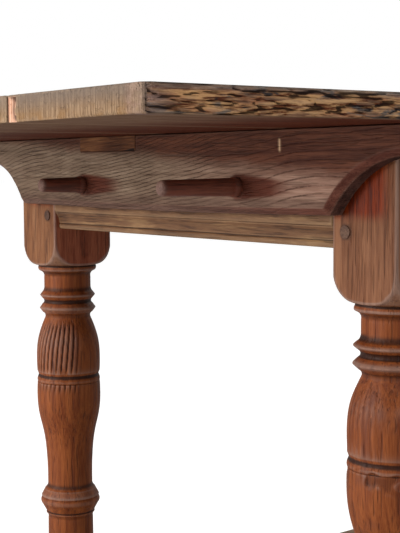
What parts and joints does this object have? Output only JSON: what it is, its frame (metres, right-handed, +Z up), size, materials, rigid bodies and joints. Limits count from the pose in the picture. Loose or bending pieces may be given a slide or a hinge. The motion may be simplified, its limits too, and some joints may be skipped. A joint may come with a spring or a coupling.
{
  "type": "pin-top table",
  "caption": "Long plank-topped table on ring-turned baluster legs, its top held down by removable wooden pins through shaped cross battens.",
  "frame": {"origin": "on the floor under the middle of the top", "axes": "+X along the top, +Y across it, +Z up"},
  "size_m": [1.9, 0.934, 0.838],
  "materials": {
    "top_boards": "old weathered oak, bleached at the edges, dark underneath",
    "hidden_tenons": "plain oak, never seen",
    "patch_wood": "orange-brown let-in piece",
    "batten_wood": "grey-brown weathered oak",
    "pin_wood": "dark reddish handled wood",
    "leg_wood": "reddish-brown old waxed oak",
    "peg_wood": "end grain, darker than the leg",
    "rail_wood": "mid-brown old oak",
    "stretcher_wood": "mid-brown old oak, foot-worn"
  },
  "bodies": {
    "table": {"batten_back": "batten_wood", "batten_front": "batten_wood", "batten_patch": "patch_wood", "end_rail_back": "rail_wood", "end_rail_front": "rail_wood", "end_rail_pegs_back": "peg_wood", "end_rail_pegs_front": "peg_wood", "leg_back_far": "leg_wood", "leg_back_near": "leg_wood", "leg_front_far": "leg_wood", "leg_front_near": "leg_wood", "seam_tenons_1": "hidden_tenons", "seam_tenons_2": "hidden_tenons", "seam_tenons_3": "hidden_tenons", "side_rail_far": "rail_wood", "side_rail_near": "rail_wood", "side_rail_pegs_far": "peg_wood", "side_rail_pegs_near": "peg_wood", "stretcher_back": "stretcher_wood", "stretcher_far": "stretcher_wood", "stretcher_front": "stretcher_wood", "stretcher_near": "stretcher_wood", "stretcher_pegs_back": "peg_wood", "stretcher_pegs_far": "peg_wood", "stretcher_pegs_front": "peg_wood", "stretcher_pegs_near": "peg_wood", "top_plank_1": "top_boards", "top_plank_2": "top_boards", "top_plank_3": "top_boards", "top_plank_4": "top_boards"},
    "pin_back_far": {"pin_back_far": "pin_wood"},
    "pin_back_near": {"pin_back_near": "pin_wood"},
    "pin_front_far": {"pin_front_far": "pin_wood"},
    "pin_front_near": {"pin_front_near": "pin_wood"}
  },
  "joints": [
    {"name": "pin_back_far_draw", "type": "slide", "parent": "table", "child": "pin_back_far", "axis": [1, 0, 0], "range_m": [0, 0.08]},
    {"name": "pin_back_near_draw", "type": "slide", "parent": "table", "child": "pin_back_near", "axis": [1, 0, 0], "range_m": [0, 0.08]},
    {"name": "pin_front_far_draw", "type": "slide", "parent": "table", "child": "pin_front_far", "axis": [-1, 0, 0], "range_m": [0, 0.08]},
    {"name": "pin_front_near_draw", "type": "slide", "parent": "table", "child": "pin_front_near", "axis": [-1, 0, 0], "range_m": [0, 0.08]}
  ]
}
